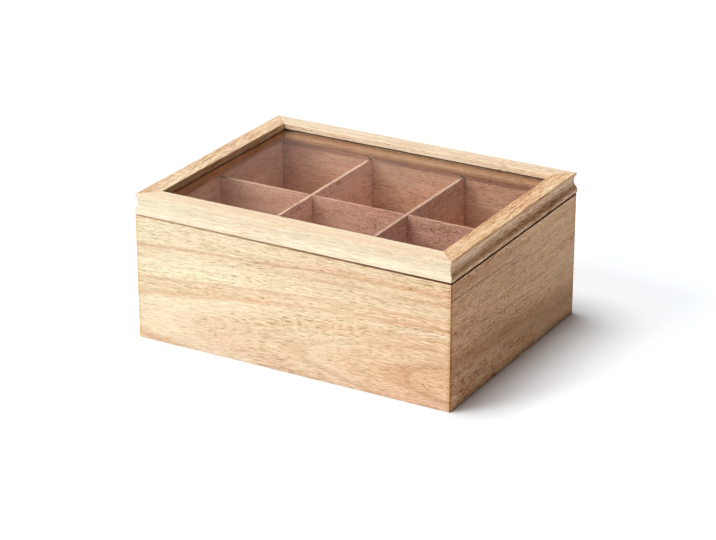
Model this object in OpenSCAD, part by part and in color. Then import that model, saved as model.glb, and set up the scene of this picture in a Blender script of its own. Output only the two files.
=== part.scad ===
// Wooden tea box: a mitred case with six compartments under a hinged, glazed lid.
// The origin is the middle of the underside, +X runs along the front to the right,
// -Y is the front and +Z is up.

/* [Case] */
// Outside length of the case, along the front
case_w = 215; // [170:1:320]
// Outside depth of the case, from front to back
case_d = 165; // [120:1:260]
// Height of the four walls
case_h = 80; // [60:1:140]
// Thickness of the wall boards
wall_t = 9; // [8.5:0.5:14]
// Radius that takes the sharpness off the long edges of the boards
edge_r = 0.5; // [0.2:0.1:0.8]
// Radius of the upright corners of the case and of the lid
corner_r = 0.7; // [0.3:0.1:1.5]

/* [Bottom] */
// Thickness of the bottom panel
bottom_t = 4; // [3:0.5:8]
// Width of the rebate in the walls that takes the bottom panel
rebate_w = 5; // [3:0.5:6]
// Clearance round the edge of the bottom panel
bottom_play = 0.2; // [0.1:0.05:0.5]

/* [Dividers] */
// Thickness of the dividers
divider_t = 2.5; // [2:0.1:5]
// How far the tops of the dividers lie below the rim of the case
divider_drop = 1.8; // [1:0.1:10]
// Depth of the grooves in the walls that hold the dividers
divider_seat = 2; // [1:0.25:3.5]
// Clearance round a divider in its grooves and halving slots
divider_play = 0.15; // [0.05:0.05:0.3]

/* [Lid frame] */
// Height of the rails of the lid
rail_h = 12.8; // [12:0.1:18]
// Width of the rails at their top, from the line of the case wall to the window
rail_w = 12.1; // [11:0.1:20]
// Gap between the rim of the case and the closed lid
lid_gap = 1; // [0.8:0.1:2]
// How far the bottom lip of the rails stands out beyond the case
lip_out = 0.4; // [0.2:0.1:1]
// Height of the bottom lip of the rails
lip_h = 2; // [1.2:0.1:3]
// Height of the deepest line of the cove above the underside of the rails
cove_z = 7.5; // [6.5:0.1:8]
// Radius of the lower half of the cove
cove_r = 6.4; // [4:0.1:8]
// Slope of the flat below the cove, from the upright
cove_slope = 25; // [20:1:32]
// Height of the upright band between the cove and the top of the rails
band_h = 1.1; // [0.9:0.1:2]
// How far the upright band lies in from the line of the case wall
band_inset = 0.3; // [0.1:0.1:0.5]

/* [Glass] */
// Thickness of the pane
glass_t = 2; // [1.5:0.1:3]
// Depth of the top of the pane below the top of the lid
glass_drop = 4.6; // [3:0.1:6]
// Depth of the groove in the rails that holds the pane
glass_seat = 4; // [2:0.25:5]
// Clearance between the edge of the pane and the bottom of its groove
glass_play = 0.5; // [0.2:0.1:1]
// Gap above the pane in its groove
glass_slack = 0.4; // [0.2:0.1:1]

/* [Hinges] */
// Length of each hinge
hinge_len = 24; // [20:1:40]
// Distance from the end of the case to the middle of each hinge
hinge_from_end = 45; // [30:1:60]
// Thickness of the hinge leaves
leaf_t = 1; // [0.8:0.1:1.2]
// Depth of the leaves on the rim of the case
leaf_depth = 7; // [5:0.25:7.5]
// Gap between the two leaves of a closed hinge
leaf_gap = 0.5; // [0.3:0.1:0.7]
// Clearance round a leaf in its recess
leaf_play = 0.1; // [0.05:0.05:0.3]
// Outside radius of the knuckles
knuckle_r = 2.2; // [1.9:0.1:3]
// Clearance between the knuckles and the wood, and between a knuckle and the other leaf
knuckle_play = 0.4; // [0.3:0.1:1]
// Length of the lid's knuckle, in the middle of the hinge
lid_knuckle_len = 8; // [6:0.5:10]
// Length of each stop lug, beside the lid's knuckle
lug_len = 3.8; // [2:0.1:4.5]
// Clearance between neighbouring knuckles and lugs along the pin
end_play = 0.2; // [0.1:0.05:0.4]
// Angle at which the stop lugs meet, with the lid open
open_angle = 95; // [90:1:105]
// Distance between the faces of the stop lugs with the lid fully open
stop_play = 0.2; // [0.1:0.05:0.3]
// Radius of the hinge pins
pin_r = 1; // [0.7:0.05:1.1]
// Radial clearance of a pin in the lid's knuckle
pin_play = 0.05; // [0.02:0.01:0.08]
// Radial clearance of a pin in the fixed knuckles and past the lugs
pin_hold = 0.02; // [0.01:0.01:0.05]
// How far a pin stands out of the outer knuckles
pin_proud = 0.4; // [0.2:0.1:1]

/* [Screws] */
// Distance between the two screws of a leaf
screw_pitch = 16; // [14:0.5:18]
// Radius of the screw shanks
screw_r = 1; // [0.7:0.05:1.2]
// Radius of the screw heads
head_r = 1.85; // [1.6:0.05:2.2]
// Length of the screws, head included
screw_len = 7; // [5:0.5:9]
// Clearance round a screw in its leaf and its pilot hole
screw_play = 0.05; // [0.02:0.01:0.15]
// Width of the arms of the cross recess
cross_w = 0.5; // [0.3:0.1:0.7]
// Length of the arms of the cross recess, from tip to tip
cross_len = 2; // [1.5:0.1:2.6]
// Depth of the cross recess
cross_depth = 0.5; // [0.3:0.1:0.7]

/* [Bumpers] */
// Radius of the bumpers under the lid
bumper_r = 2.5; // [1.5:0.1:3]
// Distance from the end of the case to the middle of each bumper
bumper_from_end = 14; // [13:0.5:30]
// Distance from a bumper to the inside of the front wall
bumper_edge = 1; // [0.5:0.1:2]

/* [Hidden] */
// Margin by which a cutting shape passes the surface that it cuts
cut = 1;
arc_steps = 8;
ease_steps = 4;
$fn = 48;

inner_w = case_w - 2 * wall_t;
inner_d = case_d - 2 * wall_t;
divider_top = case_h - divider_drop;
divider_mid = (bottom_t + divider_top) / 2;
slot_w = divider_t + 2 * divider_play;
column_pitch = (inner_w + divider_t) / 3;
lid_z = case_h + lid_gap;
glass_z = rail_h - glass_drop - glass_t;
groove_top = glass_z + glass_t + glass_slack;

// Outline of the cove: its deepest line and its upper arc follow from the lip and the slope
slope_len = (cove_z - lip_h - cove_r * sin(cove_slope)) / cos(cove_slope);
cove_depth = cove_r * (1 - cos(cove_slope)) + slope_len * sin(cove_slope) - lip_out;
cove_top = rail_h - band_h;
upper_rise = cove_top - cove_z;
upper_run = cove_depth - band_inset;
upper_r = (upper_rise * upper_rise + upper_run * upper_run) / (2 * upper_run);
upper_sweep = asin(upper_rise / upper_r);

// The pin lies midway between the case and the lid, clear behind the lip
pin_y = case_d / 2 + lip_out + knuckle_play + knuckle_r;
pin_z = case_h + lid_gap / 2;
leaf_z = leaf_gap / 2;
leaf_root = -knuckle_r - knuckle_play;
leaf_front = case_d / 2 - leaf_depth - pin_y;
leaf_sink = leaf_z + leaf_t - lid_gap / 2;
outer_knuckle_x = lid_knuckle_len / 2 + end_play + lug_len;
hinge_x = case_w / 2 - hinge_from_end;
screw_y = case_d / 2 - leaf_depth / 2;

case_wood = [0.93, 0.82, 0.66];
side_wood = [0.86, 0.73, 0.56];
lid_wood = [0.95, 0.86, 0.7];
divider_wood = [0.7, 0.53, 0.44];
bottom_wood = [0.82, 0.7, 0.55];
brass = [0.78, 0.62, 0.32];
felt = [0.25, 0.17, 0.12];
pane = [0.8, 0.88, 0.88, 0.35];

// Points of an arc about c, from angle a0 to angle a1
function arc(c, r, a0, a1, steps) = [
    for (i = [0:steps]) let (a = a0 + (a1 - a0) * i / steps) c + r * [cos(a), sin(a)]
];

// Plan of a mitred board whose outer face lies on y = 0: 45 degree ends and eased outer corners
function mitre_plan(len, depth, r) = concat(
    [[len / 2 - depth, depth], [-len / 2 + depth, depth]],
    arc([-len / 2 + r, r], r, 225, 270, ease_steps),
    arc([len / 2 - r, r], r, 270, 315, ease_steps)
);

// Section of a wall board: x runs inwards from the outer face, y is up
wall_section = concat(
    [[wall_t - rebate_w, 0], [wall_t - rebate_w, bottom_t], [wall_t, bottom_t]],
    arc([wall_t - edge_r, case_h - edge_r], edge_r, 0, 90, ease_steps),
    arc([edge_r, case_h - edge_r], edge_r, 90, 180, ease_steps),
    arc([edge_r, edge_r], edge_r, 180, 270, ease_steps)
);

// Section of a lid rail: x runs inwards from the line of the case wall, y is up
rail_section = concat(
    [[-lip_out, 0], [rail_w, 0]],
    [[rail_w, glass_z], [rail_w - glass_seat, glass_z]],
    [[rail_w - glass_seat, groove_top], [rail_w, groove_top]],
    arc([rail_w - edge_r, rail_h - edge_r], edge_r, 0, 90, ease_steps),
    arc([band_inset + edge_r, rail_h - edge_r], edge_r, 90, 180, ease_steps),
    arc([cove_depth - upper_r, cove_z], upper_r, upper_sweep, 0, arc_steps),
    arc([cove_depth - cove_r, cove_z], cove_r, 0, -cove_slope, arc_steps),
    [[-lip_out, lip_h]]
);

// Prism along X whose section is drawn in the Y and Z directions
module along_x(len) {
    translate([-len / 2, 0, 0])
        rotate([90, 0, 90])
            linear_extrude(len)
                children();
}

// Places a piece of the front side at another side of the case: 0 front, 1 right, 2 back, 3 left
module at_side(side) {
    off = (side % 2 == 0) ? case_d / 2 : case_w / 2;
    rotate([0, 0, 90 * side])
        translate([0, -off, 0])
            children();
}

function side_len(side) = (side % 2 == 0) ? case_w : case_d;

module wall_board(side) {
    len = side_len(side);
    at_side(side)
        intersection() {
            along_x(len)
                polygon(wall_section);
            linear_extrude(case_h)
                polygon(mitre_plan(len, wall_t, corner_r));
        }
}

module rail_board(side) {
    len = side_len(side) + 2 * lip_out;
    at_side(side)
        translate([0, 0, lid_z])
            intersection() {
                along_x(len)
                    polygon(rail_section);
                translate([0, -lip_out, 0])
                    linear_extrude(rail_h)
                        polygon(mitre_plan(len, rail_w + lip_out, corner_r));
            }
}

// Groove across the inside of a wall that holds the end of a divider at x
module divider_groove(x) {
    translate([x - slot_w / 2, wall_t - divider_seat, bottom_t])
        cube([slot_w, divider_seat + cut, case_h]);
}

module cross_wall(side) {
    difference() {
        wall_board(side);
        at_side(side)
            for (s = [-1, 1])
                divider_groove(s * column_pitch / 2);
    }
}

module end_wall(side) {
    difference() {
        wall_board(side);
        at_side(side)
            divider_groove(0);
    }
}

module front_wall() {
    color(case_wood)
        cross_wall(0);
}

module back_wall() {
    color(case_wood)
        difference() {
            cross_wall(2);
            leaf_recesses(case_h - leaf_sink);
            pilot_holes(-1);
        }
}

module left_wall() {
    color(side_wood)
        end_wall(3);
}

module right_wall() {
    color(side_wood)
        end_wall(1);
}

module bottom_panel() {
    ledge = wall_t - rebate_w + bottom_play;
    color(bottom_wood)
        linear_extrude(bottom_t)
            square([case_w - 2 * ledge, case_d - 2 * ledge], center = true);
}

// Divider standing on the bottom panel, along X, with eased top edges
module divider_board(inner) {
    len = inner + 2 * (divider_seat - divider_play);
    height = divider_top - bottom_t;
    translate([0, 0, bottom_t])
        along_x(len)
            polygon(concat(
                [[-divider_t / 2, 0], [divider_t / 2, 0]],
                arc([divider_t / 2 - edge_r, height - edge_r], edge_r, 0, 90, ease_steps),
                arc([-divider_t / 2 + edge_r, height - edge_r], edge_r, 90, 180, ease_steps)
            ));
}

module halving_slot(x, low, high) {
    translate([x - slot_w / 2, -divider_t, low])
        cube([slot_w, 2 * divider_t, high - low]);
}

module long_divider() {
    color(divider_wood)
        difference() {
            divider_board(inner_w);
            for (s = [-1, 1])
                halving_slot(s * column_pitch / 2, divider_mid - divider_play, case_h);
        }
}

module cross_divider(s) {
    color(divider_wood)
        translate([s * column_pitch / 2, 0, 0])
            rotate([0, 0, 90])
                difference() {
                    divider_board(inner_d);
                    halving_slot(0, 0, divider_mid);
                }
}

module lid_rail_front() {
    color(lid_wood)
        rail_board(0);
}

module lid_rail_right() {
    color(lid_wood)
        rail_board(1);
}

module lid_rail_back() {
    color(lid_wood)
        difference() {
            rail_board(2);
            leaf_recesses(lid_z - cut);
            pilot_holes(1);
        }
}

module lid_rail_left() {
    color(lid_wood)
        rail_board(3);
}

module glass_pane() {
    inset = rail_w - glass_seat + glass_play;
    color(pane)
        translate([0, 0, lid_z + glass_z])
            linear_extrude(glass_t)
                square([case_w - 2 * inset, case_d - 2 * inset], center = true);
}

module lid_bumpers() {
    y = -case_d / 2 + wall_t - bumper_edge - bumper_r;
    color(felt)
        for (s = [-1, 1])
            translate([s * (case_w / 2 - bumper_from_end), y, case_h])
                cylinder(r = bumper_r, h = lid_gap);
}

// Recesses for the leaves of both hinges, from z up by the depth that a leaf is let in
module leaf_recesses(z) {
    for (s = [-1, 1])
        translate([s * hinge_x, 0, 0])
            leaf_recess(z);
}

module leaf_recess(z) {
    w = hinge_len + 2 * leaf_play;
    translate([-w / 2, case_d / 2 - leaf_depth - leaf_play, z])
        cube([w, leaf_depth + leaf_play + lip_out + cut, leaf_sink + cut]);
}

module at_screws() {
    for (s = [-1, 1])
        for (t = [-1, 1])
            translate([s * hinge_x + t * screw_pitch / 2, screw_y, pin_z])
                children();
}

// Pilot holes for the hinge screws, downwards for up = -1 and upwards for up = 1
module pilot_holes(up) {
    at_screws()
        mirror([0, 0, up < 0 ? 1 : 0])
            translate([0, 0, leaf_z])
                cylinder(r = screw_r + screw_play, h = screw_len + cut);
}

// One countersunk screw, its head at z = 0 and its point upwards
module screw() {
    head_h = head_r - screw_r;
    point_h = 2 * screw_r;
    difference() {
        union() {
            cylinder(r1 = head_r, r2 = screw_r, h = head_h);
            cylinder(r = screw_r, h = screw_len - point_h);
            translate([0, 0, screw_len - point_h])
                cylinder(r1 = screw_r, r2 = 0, h = point_h);
        }
        for (a = [0, 90])
            rotate([0, 0, a])
                translate([-cross_len / 2, -cross_w / 2, -cut])
                    cube([cross_len, cross_w, cross_depth + cut]);
    }
}

module hinge_screws(up) {
    color(brass)
        at_screws()
            mirror([0, 0, up < 0 ? 1 : 0])
                translate([0, 0, leaf_z])
                    screw();
}

// The hinge parts below are drawn about the pin, with the lid's side up

// Part of a leaf's plate from x0 to x1, between y0 and y1
module plate(x0, x1, y0, y1) {
    translate([x0, y0, leaf_z])
        cube([x1 - x0, y1 - y0, leaf_t]);
}

// Tube round the pin from x0 to x1
module knuckle(x0, x1) {
    translate([x0, 0, 0])
        rotate([0, 90, 0])
            cylinder(r = knuckle_r, h = x1 - x0);
}

// Block behind the knuckles whose bevelled face meets the other leaf's lug at the open angle
module lug(x0, x1) {
    half = open_angle / 2;
    low_y = (leaf_z * cos(half) - stop_play / 2) / sin(half);
    high_y = (knuckle_r * cos(half) - stop_play / 2) / sin(half);
    translate([(x0 + x1) / 2, 0, 0])
        along_x(x1 - x0)
            polygon([
                [-knuckle_r, leaf_z], [low_y, leaf_z],
                [high_y, knuckle_r], [-knuckle_r, knuckle_r]
            ]);
}

module countersinks() {
    for (t = [-1, 1])
        translate([t * screw_pitch / 2, screw_y - pin_y, leaf_z]) {
            translate([0, 0, -cut])
                cylinder(r = screw_r + screw_play, h = leaf_t + 2 * cut);
            cylinder(r1 = head_r + screw_play, r2 = screw_r + screw_play, h = head_r - screw_r);
        }
}

module pin_bore(x0, x1, play) {
    translate([x0, 0, 0])
        rotate([0, 90, 0])
            cylinder(r = pin_r + play, h = x1 - x0);
}

// Leaf with one knuckle in the middle and a stop lug on each side of it
module lid_leaf() {
    reach = lid_knuckle_len / 2 + lug_len;
    inner = lid_knuckle_len / 2;
    color(brass)
        difference() {
            union() {
                plate(-hinge_len / 2, hinge_len / 2, leaf_front, leaf_root);
                plate(-reach, reach, leaf_root, 0);
                knuckle(-inner, inner);
                for (s = [-1, 1])
                    mirror([s < 0 ? 1 : 0, 0, 0])
                        lug(inner, reach);
            }
            pin_bore(-reach - cut, reach + cut, pin_play);
            countersinks();
        }
}

// Leaf with a knuckle at each end and a stop lug inside each, upside down
module body_leaf() {
    inner = lid_knuckle_len / 2 + end_play;
    color(brass)
        mirror([0, 0, 1])
            difference() {
                union() {
                    plate(-hinge_len / 2, hinge_len / 2, leaf_front, leaf_root);
                    for (s = [-1, 1])
                        mirror([s < 0 ? 1 : 0, 0, 0]) {
                            plate(inner, hinge_len / 2, leaf_root, 0);
                            knuckle(outer_knuckle_x, hinge_len / 2);
                            lug(inner, outer_knuckle_x);
                        }
                }
                pin_bore(-hinge_len, hinge_len, pin_hold);
                countersinks();
            }
}

module hinge_pin() {
    len = hinge_len + 2 * pin_proud;
    chamfer = pin_proud / 2;
    color(brass)
        rotate([0, 90, 0]) {
            cylinder(r = pin_r, h = len - 2 * chamfer, center = true);
            for (s = [-1, 1])
                mirror([0, 0, s < 0 ? 1 : 0])
                    translate([0, 0, len / 2 - chamfer])
                        cylinder(r1 = pin_r, r2 = pin_r - chamfer, h = chamfer);
        }
}

module at_hinge(s) {
    translate([s * hinge_x, pin_y, pin_z])
        children();
}

front_wall();
back_wall();
left_wall();
right_wall();
bottom_panel();
long_divider();
cross_divider(-1);  // cross_divider_left
cross_divider(1);  // cross_divider_right
lid_rail_front();
lid_rail_back();
lid_rail_left();
lid_rail_right();
glass_pane();
lid_bumpers();
at_hinge(-1) body_leaf();  // hinge_left_body_leaf
at_hinge(-1) lid_leaf();  // hinge_left_lid_leaf
at_hinge(-1) hinge_pin();  // hinge_left_pin
at_hinge(1) body_leaf();  // hinge_right_body_leaf
at_hinge(1) lid_leaf();  // hinge_right_lid_leaf
at_hinge(1) hinge_pin();  // hinge_right_pin
hinge_screws(-1);  // hinge_screws_body
hinge_screws(1);  // hinge_screws_lid
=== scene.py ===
import math

import bpy
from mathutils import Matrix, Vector

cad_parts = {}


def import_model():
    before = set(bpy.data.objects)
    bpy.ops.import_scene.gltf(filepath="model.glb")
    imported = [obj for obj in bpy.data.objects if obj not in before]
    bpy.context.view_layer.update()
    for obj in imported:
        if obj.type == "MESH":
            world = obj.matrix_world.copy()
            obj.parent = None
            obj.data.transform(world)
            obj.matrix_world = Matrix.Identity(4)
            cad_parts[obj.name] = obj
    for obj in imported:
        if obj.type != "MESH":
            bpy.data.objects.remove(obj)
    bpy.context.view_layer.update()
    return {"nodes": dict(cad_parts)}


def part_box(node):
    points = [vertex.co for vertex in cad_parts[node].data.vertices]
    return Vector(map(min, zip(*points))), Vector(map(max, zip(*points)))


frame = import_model()
nodes = frame["nodes"]

MM = 0.001

# The box's own lines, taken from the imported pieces, in millimetres
front_low, front_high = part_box("front_wall")
HALF_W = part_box("right_wall")[1].x / MM
HALF_D = -front_low.y / MM
RIM_Z = front_high.z / MM
DIVIDER_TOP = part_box("long_divider")[1].z / MM
LID_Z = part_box("lid_rail_front")[0].z / MM
GLASS_Z, GLASS_TOP = (corner.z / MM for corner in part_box("glass_pane"))
# Thickness of the walls, and width of the rails at their top
WALL_T = 9
RAIL_W = 12.1
# Height of the dark line where the lid closes on the case, along which shade is painted
JOINT_Z = (RIM_Z + LID_Z) / 2 - 0.3

# The camera: its angles round from the front and up in degrees, the point that it looks at, how
# far off that is in metres, and its lens and sensor in millimetres
AZIMUTH = 29.77
ELEVATION = 22.795
TARGET = Vector((7.57, -13.57, 43.0)) * MM
DISTANCE = 1.50995
FOCAL_LENGTH = 124.88
SENSOR_WIDTH = 36

# Each lamp: where its light comes from, how bright it makes white paper that faces it, and its
# softness in degrees
LAMPS = {
    "key": (Vector((-0.26, -0.04, 0.97)), 0.8, 36),
    "front_fill": (Vector((-0.20, -0.94, 0.22)), 0.262, 44),
    "left_fill": (Vector((-0.56, -0.60, 0.57)), 0.33, 26),
}
AMBIENT = 0.01
# How high up the mirrored room turns from white to grey, as the Z of a direction
CEILING = (0.25, 0.378)
FLOOR_SIZE = 40
PAPER = (0.9, 0.9, 0.9, 1)
BRIGHT_PAPER = (1.09, 1.13, 1.16, 1)

# What the shading takes as one surface: points this near in millimetres, edges up to these degrees
WELD = 0.002
SHARP_FROM = 24

# Features of the materials: length along the grain and width across it, in millimetres
SWAY = (80, 40)
RIPPLE = (12, 4)
GROWTH = (200, 7)
PATCH = (80, 9)
LATE = (70, 1.5)
STREAK = (36, 0.65)
FIBRE = (3.8, 0.38)
THREAD = (30, 0.95)
DASH = (4.8, 0.5)
CROWD = (60, 5)
BRUSH = (3, 1 / 9)
TARNISH = (4, 4)
FUZZ = (1 / 6, 1 / 6)
FILM = (18, 18)

# How far the log's waves push its rings aside, and how far apart two boards are cut, in millimetres
SWAY_PUSH = 3
RIPPLE_PUSH = 0.4
BOARD_STEP = 400

# The noise levels between which a feature of the wood sets in
DARK_WOOD = (0.28, 0.72)
PINK_WOOD = (0.45, 0.75)
LATE_LINES = (0.5, 0.72)
LINED_PATCH = (0.3, 0.55)
BAND_GAPS = (0.6, 0.95)
OPEN_PORES = (0.6, 0.73)

# How much each feature of the wood changes its tone, as a power of e
BASE_TONE = 0.07
FIBRE_TONE = 0.6
STREAK_TONE = 0.3
PALEST_FIBRE = 0.16
PORE_TONE = 0.95
THREAD_TONE = 0.34
RING_TONE = 0.2
# How much more of that blue takes than green does
BLUE_SHARE = 1.5

WOOD_SPECULAR = 0.08
GLASS_IOR = 1.5
GLASS_SHADOW = (0.96, 0.97, 0.965, 1)


def srgb(r, g, b):
    """A display colour, 0 to 255 a channel, as the linear colour that a shader takes."""
    def linear(value):
        value /= 255
        return value / 12.92 if value <= 0.04045 else ((value + 0.055) / 1.055) ** 2.4
    return (linear(r), linear(g), linear(b), 1)


# Woods: pale, dark and pink wood, and the lines of its growth rings
CREAM = (srgb(255, 239, 205), srgb(236, 200, 160), srgb(242, 200, 170), srgb(196, 142, 98))
# A warmer copy of the cream wood for the back, which is in shade: painted warm bounce light
SHADED_BACK_WOOD = (srgb(255, 230, 190), srgb(234, 190, 146), srgb(240, 190, 154), srgb(190, 134, 90))
# A darker, redder copy of the cream wood for the right wall, which is in shade: painted warm bounce
# light and shade
SHADED_SIDE_WOOD = (srgb(250, 204, 160), srgb(225, 172, 129), srgb(226, 168, 132), srgb(162, 104, 68))
RAIL = (srgb(249, 229, 197), srgb(240, 212, 174), srgb(240, 207, 174), srgb(218, 174, 130))
BACK_RAIL = (srgb(248, 232, 204), srgb(238, 205, 171), srgb(240, 204, 176), srgb(200, 152, 110))
TAN = (srgb(250, 226, 188), srgb(226, 182, 139), srgb(232, 186, 147), srgb(164, 110, 68))
RIGHT_TAN = (srgb(246, 214, 172), srgb(218, 167, 120), srgb(226, 170, 126), srgb(156, 100, 58))
BROWN = (srgb(222, 180, 158), srgb(200, 154, 131), srgb(204, 151, 130), srgb(162, 117, 95))
ROSE_BROWN = (srgb(228, 192, 175), srgb(209, 170, 153), srgb(213, 167, 151), srgb(168, 127, 108))
PALE_BROWN = (srgb(250, 212, 193), srgb(235, 192, 173), srgb(237, 187, 169), srgb(193, 148, 128))
PLY = (srgb(206, 168, 130), srgb(188, 148, 108), srgb(188, 142, 106), srgb(158, 116, 80))
# The glue's colour, which also colours the painted shade in the lid's joint
GLUE_AND_GAP_SHADE = srgb(112, 60, 22)
# Painted shade on the rounded corners beside the mitres, with some darker wood there
MITRE_SHADE_AND_STAIN = (0.84, 0.69, 0.44, 1)
# The colour of the painted shade in the joint on the right side
GAP_SHADE_COLOUR = srgb(70, 24, 4)

# Bands of a board: radius, half width, strength, how broken it is, the way along the board in which
# it grows, and colour
FRONT_BANDS = (
    (73.0, 8.0, 0.55, 0.1, -1, srgb(255, 244, 208)),
    (57.5, 7.5, 0.6, 0.1, -1, srgb(255, 246, 208)),
    (54.0, 3.2, 0.55, 0.1, -1, srgb(255, 246, 208)),
    (59.5, 5.5, 0.5, 0.1, 1, srgb(236, 196, 158)),
    (45.3, 2.4, 0.35, 0.2, 0, srgb(255, 240, 206)),
    (50.2, 3.2, 0.35, 0.3, 1, srgb(242, 204, 158)),
    (64.8, 1.2, 0.75, 0.55, 0, srgb(206, 152, 102)),
    (66.5, 2.6, 0.5, 0.5, 1, srgb(236, 190, 152)),
    (60.4, 0.9, 0.55, 0.8, 1, srgb(190, 136, 92)),
    (48.1, 1.2, 0.55, 0.45, 0, srgb(222, 168, 116)),
    (52.1, 0.9, 0.5, 0.45, 0, srgb(216, 162, 112)),
    (39.6, 1.0, 0.5, 0.7, 1, srgb(200, 146, 100)),
    (35.6, 1.0, 0.6, 0.7, 1, srgb(196, 138, 94)),
)
SIDE_BANDS = (
    (47.6, 4.6, 0.75, 0.2, 0, srgb(186, 126, 84)),
    (52.0, 9.0, 0.5, 0.1, 1, srgb(232, 184, 140)),
    (76.0, 0.9, 0.85, 0.3, -1, srgb(140, 88, 54)),
    (80.0, 4.0, 0.5, 0.2, -1, srgb(190, 134, 92)),
)

# Tinted parts, painted light and shade: depth from, depth to, height from, height to, softness and
# tint
# Painted shade on the inside of the case's walls
CASE_INSIDE_SHADE = (WALL_T - 0.1, HALF_D, 0, RIM_Z - 0.2, 0.2, (0.74, 0.64, 0.70))
# Painted shade on the lid's rails inside, under the glass
LID_INSIDE_SHADE = (RAIL_W - 0.1, HALF_D, LID_Z, GLASS_Z, 0.2, (0.4, 0.25, 0.17))
# Painted shade: the front board darker and cooler at its foot
FRONT_FOOT_SHADE = (-1, 0.5, -1, 2, 10, (0.95, 0.94, 0.98))
# Painted shade: the lower part of the front board darker
FRONT_LOW_SHADE = (-1, 0.5, -1, 21, 8, (0.965, 0.92, 0.91))
# Painted light: the foot of the right wall lighter
SIDE_FOOT_LIGHT = (-1, 0.5, -1, 3, 10, (1.45, 1.5, 1.5))
# Painted shade on the tops of the dividers
DIVIDER_TOP_SHADE = (-1, HALF_D, DIVIDER_TOP - 0.3, RIM_Z, 0.5, (0.6, 0.56, 0.51))
# Painted shadow: a dark line on the rails' inside where the glass sits
GLASS_EDGE_SHADE = (RAIL_W - 0.1, HALF_D, GLASS_TOP - 0.1, GLASS_TOP + 0.9, 0.35, (0.1, 0.045, 0.02))
# Painted light on the back rail's inside above the glass
BACK_LIP_LIGHT = (RAIL_W - 0.5, HALF_D, GLASS_TOP + 1.4, LID_Z + 20, 0.3, (1.16, 1.17, 1.15))
# Painted light on the left rail's inside above the glass
LEFT_LIP_LIGHT = (RAIL_W - 0.3, HALF_D, GLASS_TOP, LID_Z + 20, 0.3, (1.3, 1.32, 1.3))
# Painted light on the front rail's outside
FRONT_LIP_LIGHT = (-2, 2.5, LID_Z + 0.4, LID_Z + 12.2, 0.3, (1.04, 1.12, 1.18))
BACK_SHADE = (WALL_T - 0.1, HALF_D, RIM_Z - 2.6, RIM_Z, 1.2, (0.74, 0.68, 0.66))
# Painted shade on the lower slope of the right rail's cove
SIDE_SLOPE_SHADE = (-2, 6, LID_Z + 2.8, LID_Z + 4.5, 0.8, (0.76, 0.62, 0.5))
# Painted light on the right rail's side and lip
SIDE_LIP_LIGHT = (-2, 2.5, LID_Z + 0.4, LID_Z + 10.4, 0.3, (1.1, 1.13, 1.24))
# Painted shade on the band at the top of the right rail's side
SIDE_BAND_SHADE = (-2, 1.5, LID_Z + 10.6, LID_Z + 12.4, 0.3, (0.94, 0.84, 0.83))

# Painted shade in the gap where the lid closes on the case: how dark it is, how much darker for
# each millimetre along the board, half the height of the dark line and its colour
JOINT_SHADE = (0.85, 0, 0.5, GLUE_AND_GAP_SHADE)
FRONT_JOINT_SHADE = (0.46, 0.0048, 0.5, GLUE_AND_GAP_SHADE)
RIGHT_JOINT_SHADE = (1, 0, 0.65, GAP_SHADE_COLOUR)


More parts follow.
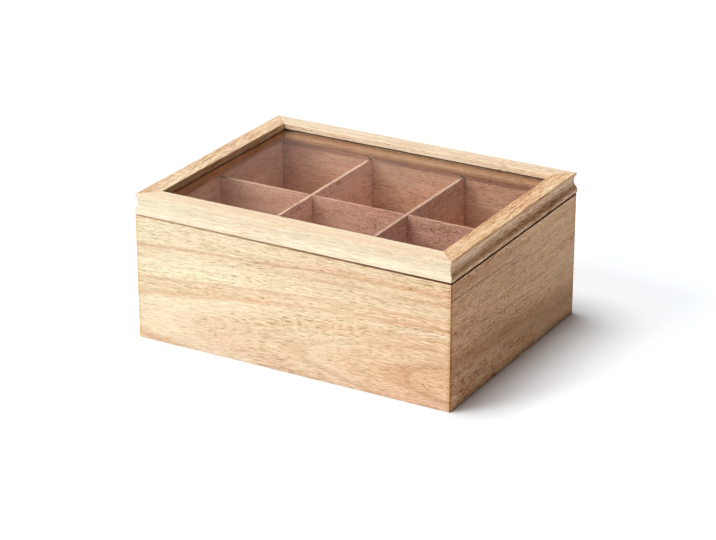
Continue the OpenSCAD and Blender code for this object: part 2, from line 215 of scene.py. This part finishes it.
class Graph:
    """The nodes of a material or a world, written as sums. Most calls return the socket of what
    they make."""

    def __init__(self, owner):
        self.owner = owner
        owner.use_nodes = True
        self.tree = owner.node_tree
        self.tree.nodes.clear()

    def node(self, kind, **settings):
        made = self.tree.nodes.new(kind)
        for key, value in settings.items():
            setattr(made, key, value)
        return made

    def feed(self, socket, value):
        if isinstance(value, bpy.types.NodeSocket):
            self.tree.links.new(value, socket)
        else:
            socket.default_value = value

    def made(self, kind, *values, **settings):
        """A node with these values on its first inputs. Returns its first output."""
        new = self.node(kind, **settings)
        for socket, value in zip(new.inputs, values):
            self.feed(socket, value)
        return new.outputs[0]

    def math(self, operation, *values, clamp=False):
        return self.made("ShaderNodeMath", *values, operation=operation, use_clamp=clamp)

    def add(self, a, b):
        return self.math("ADD", a, b)

    def sub(self, a, b):
        return self.math("SUBTRACT", a, b)

    def mul(self, a, b):
        return self.math("MULTIPLY", a, b)

    def spread(self, value, size):
        """A noise value, which lies round a half, as a signed amount of up to about size."""
        return self.mul(self.sub(value, 0.5), 2 * size)

    def length(self, a, b):
        return self.math("SQRT", self.add(self.mul(a, a), self.mul(b, b)))

    def step(self, value, low, high):
        """0 below low and 1 above high, with a smooth rise between them."""
        return self.made("ShaderNodeMapRange", value, low, high, interpolation_type="SMOOTHSTEP")

    def fall(self, value, low, high):
        """1 below low and 0 above high, with a smooth fall between them."""
        return self.sub(1, self.step(value, low, high))

    def between(self, value, low, high, soft):
        """1 from low to high and 0 outside, with borders that are soft wide."""
        return self.mul(self.step(value, low - soft, low), self.fall(value, high, high + soft))

    def vector(self, x, y, z):
        return self.made("ShaderNodeCombineXYZ", x, y, z)

    def place(self):
        """X, Y and Z of the surface in millimetres, in the box's own frame."""
        where = self.node("ShaderNodeTexCoord")
        split = self.node("ShaderNodeSeparateXYZ")
        self.tree.links.new(where.outputs["Object"], split.inputs[0])
        return [self.mul(socket, 1 / MM) for socket in split.outputs]

    def grain(self, feature, along, across, last, detail=2, rough=0.5):
        """Noise in spots that are as long along the grain and as wide across it as the feature.
        last is the second way across it, or the number of a layer of its own."""
        size, width = feature
        if isinstance(last, bpy.types.NodeSocket):
            last = self.mul(last, 1 / width)
        new = self.node("ShaderNodeTexNoise", noise_dimensions="3D")
        where = self.vector(self.mul(along, 1 / size), self.mul(across, 1 / width), last)
        self.feed(new.inputs["Vector"], where)
        new.inputs["Scale"].default_value = 1
        new.inputs["Detail"].default_value = detail
        new.inputs["Roughness"].default_value = rough
        return new.outputs["Fac"]

    def blend(self, share, a, b, mode="MIX"):
        new = self.node("ShaderNodeMix", data_type="RGBA", blend_type=mode)
        self.feed(new.inputs["Factor"], share)
        # This node's sockets for colour are its seventh, its eighth and its third
        self.feed(new.inputs[6], a)
        self.feed(new.inputs[7], b)
        return new.outputs[2]

    def bump(self, height, depth, strength=1):
        """Height from 0 to 1 as a relief of that depth in millimetres."""
        new = self.node("ShaderNodeBump")
        new.inputs["Strength"].default_value = strength
        new.inputs["Distance"].default_value = depth * MM
        self.feed(new.inputs["Height"], height)
        return new.outputs[0]

    def shader(self, kind, **inputs):
        """A shader whose inputs are named with a low line for each space."""
        new = self.node(kind)
        for key, value in inputs.items():
            self.feed(new.inputs[key.replace("_", " ")], value)
        return new.outputs[0]

    def mix(self, share, first, second):
        """The first shader where share is 0 and the second where it is 1."""
        return self.made("ShaderNodeMixShader", share, first, second)

    def output(self, shader, kind="ShaderNodeOutputMaterial"):
        self.feed(self.node(kind).inputs["Surface"], shader)

    def surface(self, **inputs):
        self.output(self.shader("ShaderNodeBsdfPrincipled", **inputs))


def wood(name, grain, palette, pith, seed, tilt=0.0, drift_and_falloff=0.0, grit=1.0, figure=1.0, short=1.0,
         fine=1.0, bands=(), zones=(), seam=0.0, mitre_shade_and_stain=0.0, gap_shade=None, carve=0.03, red=0.8,
         pores=1.0):
    """Pale, open-pored hardwood under a satin finish, as a solid texture cut from a log.

    grain    the axis that the board runs along
    palette  its colours: pale, dark and pink wood, and the lines of its growth rings
    pith     the middle of the log: its place across the board and its height, in millimetres
    seed     the board's own number, which sets its noise apart
    tilt     how fast the log runs out of the board
    drift    how much darker the board grows for each millimetre along it: its own colour and painted falloff of the light
    grit     how strongly its fibres and pores show
    figure   how strongly its growth rings show
    short    how many times shorter than usual its fibres are
    fine     how many times thinner than usual its fibres are
    bands    single rings, as in FRONT_BANDS
    zones    painted light and shade, each between two depths from the outside and between two heights
    seam     how strong the glue line on the mitres is
    stain    how strong the painted shade beside the mitres is, with some darker wood there
    rim      the painted shade along the edges that close on each other, as in JOINT_SHADE
    carve    how deep the pores are, in millimetres
    red      how much the grain takes off red, as a share of what it takes off green
    pores    how dark the pores are"""
    pale, dark, pink, line = palette
    g = Graph(bpy.data.materials.new(name))
    x, y, z = g.place()
    along, across = (x, y) if grain == "x" else (y, x)
    run = g.add(along, BOARD_STEP * seed)

    # Distance from the middle of the log, with the waves that a real trunk has
    sway = g.spread(g.grain(SWAY, run, across, z), SWAY_PUSH)
    ripple = g.spread(g.grain(RIPPLE, run, across, z), RIPPLE_PUSH)
    high = g.add(g.sub(z, pith[1]), sway)
    deep = g.add(g.sub(across, pith[0]), g.mul(along, tilt))
    radius = g.add(g.length(high, deep), ripple)

    growth = g.grain(GROWTH, run, radius, seed, 4, 0.6)
    darkness = g.step(g.add(growth, g.mul(along, drift_and_falloff)), *DARK_WOOD)
    patch = g.grain(PATCH, run, radius, seed + 3)
    late = g.grain(LATE, run, radius, seed + 5, 3, 0.6)
    # Fibres lie a little off the board's own line, and wave with the log
    slope = g.sub(g.mul(along, 0.8 * tilt), g.mul(sway, 0.6))
    up, over = g.mul(g.sub(z, slope), fine), g.mul(g.sub(across, slope), fine)
    run = g.mul(run, short)
    streak = g.grain(STREAK, run, up, over, 3, 0.6)
    fibre = g.grain(FIBRE, run, up, over, 2, 0.6)
    thread = g.grain(THREAD, run, up, over, 2, 0.4)
    thread = g.fall(g.math("ABSOLUTE", g.sub(thread, 0.5)), 0.0, 0.05)

    # Pores are cut open as short dashes along the grain, in bands of more and fewer
    crowd = g.grain(CROWD, run, radius, seed + 9)
    open_pores = g.add(g.grain(DASH, run, up, over), g.spread(crowd, 0.13))
    open_pores = g.step(open_pores, *OPEN_PORES)

    colour = g.blend(darkness, pale, dark)
    colour = g.blend(g.mul(g.step(patch, *PINK_WOOD), 0.5), colour, pink)
    lines = g.mul(g.step(late, *LATE_LINES), g.step(patch, *LINED_PATCH))
    colour = g.blend(g.mul(lines, 0.4 * figure), colour, line)
    gaps = g.fall(g.add(streak, g.mul(patch, 0.5)), *BAND_GAPS)
    for ring, half, strength, broken, way, band in bands:
        away = g.math("ABSOLUTE", g.sub(radius, ring))
        amount = g.mul(g.fall(away, 0, half), g.sub(1, g.mul(gaps, broken)))
        if way:
            amount = g.mul(amount, g.step(g.mul(along, way), -0.7 * HALF_W, 0.7 * HALF_W))
        colour = g.blend(g.mul(amount, strength), colour, band)

    # The grain multiplies red, green and blue by a power of e, with a share for each
    shade = g.add(g.spread(fibre, FIBRE_TONE * grit), g.spread(streak, STREAK_TONE * grit))
    shade = g.math("MINIMUM", shade, PALEST_FIBRE * grit)
    shade = g.sub(shade, g.mul(open_pores, PORE_TONE * grit * pores))
    threads = g.mul(g.mul(thread, g.add(0.3, crowd)), THREAD_TONE * grit * pores)
    shade = g.sub(g.add(shade, BASE_TONE * grit), threads)
    # Darker wood has the coarser grain
    shade = g.mul(shade, g.add(0.62, g.mul(darkness, 0.76)))
    shade = g.add(shade, g.spread(late, RING_TONE * figure))
    tone = [g.math("EXPONENT", g.mul(shade, share)) for share in (red, 1, BLUE_SHARE)]
    colour = g.blend(1, colour, g.vector(*tone), "MULTIPLY")

    from_side = g.sub(HALF_W, g.math("ABSOLUTE", x))
    from_front = g.sub(HALF_D, g.math("ABSOLUTE", y))
    depth = g.math("MINIMUM", from_side, from_front)
    # The zones paint light and shade onto parts of the board
    for depth_from, depth_to, z_from, z_to, soft, tint in zones:
        within = g.between(depth, depth_from, depth_to, 0.4)
        within = g.mul(within, g.between(z, z_from, z_to, soft))
        colour = g.blend(within, colour, g.vector(*tint), "MULTIPLY")

    # The glue line where two boards meet on the mitre, painted shade beside the mitres, and painted
    # shade in the gap where the lid closes on the case
    apart = g.math("ABSOLUTE", g.sub(from_side, from_front))
    # Painted shade on the rounded corners beside the mitres, with some darker wood
    if mitre_shade_and_stain:
        colour = g.blend(g.mul(g.fall(apart, 0.8, 2.8), mitre_shade_and_stain), colour, MITRE_SHADE_AND_STAIN, "MULTIPLY")
    if seam:
        colour = g.blend(g.mul(g.fall(apart, 0.2, 0.7), seam), colour, GLUE_AND_GAP_SHADE)
    rough = g.add(0.5, g.spread(fibre, 0.08))
    # Painted shade in the gap where the lid closes on the case
    if gap_shade:
        amount, grows, half, edge_colour = gap_shade
        joint = g.math("ABSOLUTE", g.sub(z, JOINT_Z))
        joint = g.fall(joint, half, half + 0.3)
        edge = g.mul(joint, g.fall(depth, 0.5, 3.5))
        amount = g.math("ADD", amount, g.mul(along, grows), clamp=True)
        colour = g.blend(g.mul(edge, amount), colour, edge_colour)
        rough = g.add(rough, g.mul(joint, 0.5))

    relief = g.sub(g.mul(fibre, 0.35), g.mul(open_pores, 0.65))
    g.surface(Base_Color=colour, Roughness=rough, Specular_IOR_Level=WOOD_SPECULAR,
              Normal=g.bump(relief, carve, 0.5))
    return g.owner


def brass():
    """Satin brass with fine brush marks along the hinge and a little tarnish."""
    g = Graph(bpy.data.materials.new("brass"))
    x, y, z = g.place()
    brush = g.grain(BRUSH, x, y, z, 3, 0.6)
    tarnish = g.step(g.grain(TARNISH, x, y, z, 3), 0.4, 0.75)
    colour = g.blend(tarnish, srgb(226, 198, 142), srgb(194, 160, 108))
    g.surface(Base_Color=colour, Metallic=1.0, Roughness=g.add(0.3, g.spread(brush, 0.1)),
              Normal=g.bump(brush, 0.02, 0.4))
    return g.owner


def felt():
    """Short dark brown felt."""
    g = Graph(bpy.data.materials.new("felt"))
    x, y, z = g.place()
    fuzz = g.grain(FUZZ, x, y, z, 4, 0.7)
    colour = g.blend(fuzz, srgb(52, 36, 26), srgb(98, 74, 56))
    g.surface(Base_Color=colour, Roughness=0.95, Normal=g.bump(fuzz, 0.15))
    return g.owner


def glass():
    """Clear window glass with a faint film of dust. Lamp light goes straight through it."""
    g = Graph(bpy.data.materials.new("window_glass"))
    x, y, z = g.place()
    film = g.step(g.grain(FILM, x, y, z, 4, 0.6), 0.35, 0.75)
    colour = g.blend(film, srgb(254, 255, 254), srgb(246, 250, 247))
    clear = g.shader("ShaderNodeBsdfPrincipled", Base_Color=colour, Transmission_Weight=1,
                     Roughness=0, IOR=GLASS_IOR)
    open_way = g.shader("ShaderNodeBsdfTransparent", Color=GLASS_SHADOW)
    ray = g.node("ShaderNodeLightPath")
    g.output(g.mix(ray.outputs["Is Shadow Ray"], clear, open_way))
    return g.owner


def smoothing():
    """Geometry nodes that weld a mesh and mark which of its edges stay sharp."""
    tree = bpy.data.node_groups.new("smooth_by_angle", "GeometryNodeTree")
    tree.interface.new_socket("Geometry", in_out="INPUT", socket_type="NodeSocketGeometry")
    tree.interface.new_socket("Geometry", in_out="OUTPUT", socket_type="NodeSocketGeometry")
    start = tree.nodes.new("NodeGroupInput")
    weld = tree.nodes.new("GeometryNodeMergeByDistance")
    weld.inputs["Distance"].default_value = WELD * MM
    angle = tree.nodes.new("GeometryNodeInputMeshEdgeAngle")
    sharp = tree.nodes.new("FunctionNodeCompare")
    sharp.inputs[1].default_value = math.radians(SHARP_FROM)
    normals = tree.nodes.new("GeometryNodeSetMeshNormal")
    normals.mode = "SHARPNESS"
    end = tree.nodes.new("NodeGroupOutput")
    tree.links.new(start.outputs[0], weld.inputs["Geometry"])
    tree.links.new(weld.outputs["Geometry"], normals.inputs["Mesh"])
    tree.links.new(angle.outputs["Unsigned Angle"], sharp.inputs[0])
    tree.links.new(sharp.outputs[0], normals.inputs["Edge Sharpness"])
    tree.links.new(normals.outputs[0], end.inputs[0])
    return tree


def smooth(piece, tree):
    """Rounds the shading of a piece's eased edges and coves and keeps its sharp edges sharp."""
    piece.modifiers.new("smooth_by_angle", "NODES").node_group = tree
    weighted = piece.modifiers.new("weighted_normals", "WEIGHTED_NORMAL")
    weighted.keep_sharp = True
    weighted.weight = 100


def paint(material, *names):
    for name in names:
        for slot in nodes[name].material_slots:
            slot.link = "OBJECT"
            slot.material = material


def dress():
    """Gives every piece its material and its smooth shading."""
    # The case
    # The front board darkens towards its right end partly as painted falloff of the light
    paint(wood("front_board", "x", CREAM, (-42.5, 17), 1, tilt=0.06, drift_and_falloff=0.0016, short=0.7,
               pores=0.85, bands=FRONT_BANDS, zones=(CASE_INSIDE_SHADE, FRONT_FOOT_SHADE, FRONT_LOW_SHADE), seam=0.15,
               mitre_shade_and_stain=0.5, gap_shade=FRONT_JOINT_SHADE), "front_wall")
    paint(wood("back_board", "x", SHADED_BACK_WOOD, (48, 52), 2, tilt=0.03, zones=(CASE_INSIDE_SHADE, BACK_SHADE),
               seam=0.15, gap_shade=JOINT_SHADE), "back_wall")
    paint(wood("left_board", "y", CREAM, (-66, 20), 3, tilt=0.04, zones=(CASE_INSIDE_SHADE,), seam=0.75,
               gap_shade=JOINT_SHADE), "left_wall")
    paint(wood("right_board", "y", SHADED_SIDE_WOOD, (64, 3.7), 4, tilt=0.036, drift_and_falloff=-0.0018, grit=1.8,
               figure=1.4, red=0.5, bands=SIDE_BANDS, zones=(CASE_INSIDE_SHADE, SIDE_FOOT_LIGHT), seam=0.75,
               mitre_shade_and_stain=1, gap_shade=RIGHT_JOINT_SHADE, carve=0.012), "right_wall")

    # The lid
    paint(wood("front_rail", "x", RAIL, (-40, 60), 5, tilt=0.02, grit=0.9, figure=0.6, short=0.45,
               pores=0.35, zones=(LID_INSIDE_SHADE, FRONT_LIP_LIGHT), seam=0.2, gap_shade=FRONT_JOINT_SHADE), "lid_rail_front")
    paint(wood("back_rail", "x", BACK_RAIL, (60, 70), 6, tilt=-0.02, grit=0.8,
               zones=(LID_INSIDE_SHADE, GLASS_EDGE_SHADE, BACK_LIP_LIGHT), seam=0.2, gap_shade=JOINT_SHADE), "lid_rail_back")
    side_rails = {"grit": 2.1, "short": 0.55, "fine": 1.3, "carve": 0.015, "seam": 0.2}
    paint(wood("left_rail", "y", TAN, (-80, 66), 7, tilt=0.03, figure=1.2, red=0.75,
               zones=(LID_INSIDE_SHADE, LEFT_LIP_LIGHT), gap_shade=JOINT_SHADE, **side_rails), "lid_rail_left")
    paint(wood("right_rail", "y", RIGHT_TAN, (86, 70), 8, tilt=-0.02, figure=1.4, red=0.7,
               zones=(LID_INSIDE_SHADE, SIDE_LIP_LIGHT, SIDE_SLOPE_SHADE, SIDE_BAND_SHADE), gap_shade=RIGHT_JOINT_SHADE, **side_rails),
          "lid_rail_right")

    # The dividers and the bottom
    dividers = {"grit": 1.6, "figure": 0.5, "short": 2.5, "zones": (DIVIDER_TOP_SHADE,)}
    paint(wood("long_divider_wood", "x", BROWN, (30, -40), 9, drift_and_falloff=0.003, **dividers),
          "long_divider")
    paint(wood("left_divider_wood", "y", PALE_BROWN, (-70, -40), 10, **dividers),
          "cross_divider_left")
    paint(wood("right_divider_wood", "y", ROSE_BROWN, (90, -40), 11, **dividers),
          "cross_divider_right")
    paint(wood("bottom_wood", "x", PLY, (10, -90), 12, grit=0.6), "bottom_panel")

    paint(glass(), "glass_pane")
    paint(felt(), "lid_bumpers")
    paint(brass(), *[name for name in nodes if name.startswith("hinge_")])
    tree = smoothing()
    for piece in nodes.values():
        smooth(piece, tree)


def white_where_seen(g, lit, white):
    """A shader that lights the object as lit does, and is seen, mirrored and seen through glass as
    white. Light that has met a rough surface lights the object, so it doesn't see the white."""
    ray = g.node("ShaderNodeLightPath")
    seen = g.math("MAXIMUM", ray.outputs["Is Camera Ray"], ray.outputs["Is Glossy Ray"])
    seen = g.math("MAXIMUM", seen, ray.outputs["Is Transmission Ray"])
    seen = g.mul(seen, g.math("LESS_THAN", ray.outputs["Diffuse Depth"], 0.5))
    return g.mix(seen, lit, white)


def floor():
    """A pale floor whose lit part is seen white and whose shadow stays."""
    bpy.ops.mesh.primitive_plane_add(size=FLOOR_SIZE)
    plane = bpy.context.object
    plane.name = "floor"
    g = Graph(bpy.data.materials.new("floor_paper"))
    paper = g.shader("ShaderNodeBsdfDiffuse", Color=PAPER)
    bright = g.shader("ShaderNodeBsdfDiffuse", Color=BRIGHT_PAPER)
    g.output(white_where_seen(g, paper, bright))
    plane.data.materials.append(g.owner)


def world():
    """Faint even light on the object. The room is mirrored, and seen through glass, as white low
    down and grey overhead, as in a studio, and the camera itself sees it white."""
    bpy.context.scene.world = bpy.data.worlds.new("studio")
    g = Graph(bpy.context.scene.world)
    lit = g.shader("ShaderNodeBackground", Strength=AMBIENT)
    white = g.shader("ShaderNodeBackground", Strength=1)
    overhead = g.shader("ShaderNodeBackground", Color=srgb(58, 48, 50))
    where = g.node("ShaderNodeTexCoord")
    split = g.node("ShaderNodeSeparateXYZ")
    g.feed(split.inputs[0], where.outputs["Generated"])
    mirrored = g.mix(g.step(split.outputs["Z"], *CEILING), white, overhead)
    g.output(g.mix(g.node("ShaderNodeLightPath").outputs["Is Camera Ray"],
                   white_where_seen(g, lit, mirrored), white), "ShaderNodeOutputWorld")


def lamps():
    """A broad soft key from overhead and a little left, and soft fills from the front and left."""
    for name, (toward, bright, angle) in LAMPS.items():
        lamp = bpy.data.lights.new(name, "SUN")
        lamp.energy = bright * math.pi
        lamp.angle = math.radians(angle)
        placed = bpy.data.objects.new(name, lamp)
        placed.rotation_mode = "QUATERNION"
        placed.rotation_quaternion = toward.to_track_quat("Z", "Y")
        bpy.context.scene.collection.objects.link(placed)


def camera():
    """Stands where the photograph was taken from, worked out from the box's own straight edges."""
    azimuth = math.radians(AZIMUTH)
    elevation = math.radians(ELEVATION)
    back = Vector((
        math.sin(azimuth) * math.cos(elevation),
        -math.cos(azimuth) * math.cos(elevation),
        math.sin(elevation),
    ))
    lens = bpy.data.cameras.new("camera")
    lens.sensor_width = SENSOR_WIDTH
    lens.lens = FOCAL_LENGTH
    made = bpy.data.objects.new("camera", lens)
    made.location = TARGET + back * DISTANCE
    made.rotation_mode = "QUATERNION"
    made.rotation_quaternion = (-back).to_track_quat("-Z", "Y")
    bpy.context.scene.collection.objects.link(made)
    bpy.context.scene.camera = made


camera()
world()
lamps()
floor()
dress()
bpy.context.scene.view_settings.view_transform = "Standard"
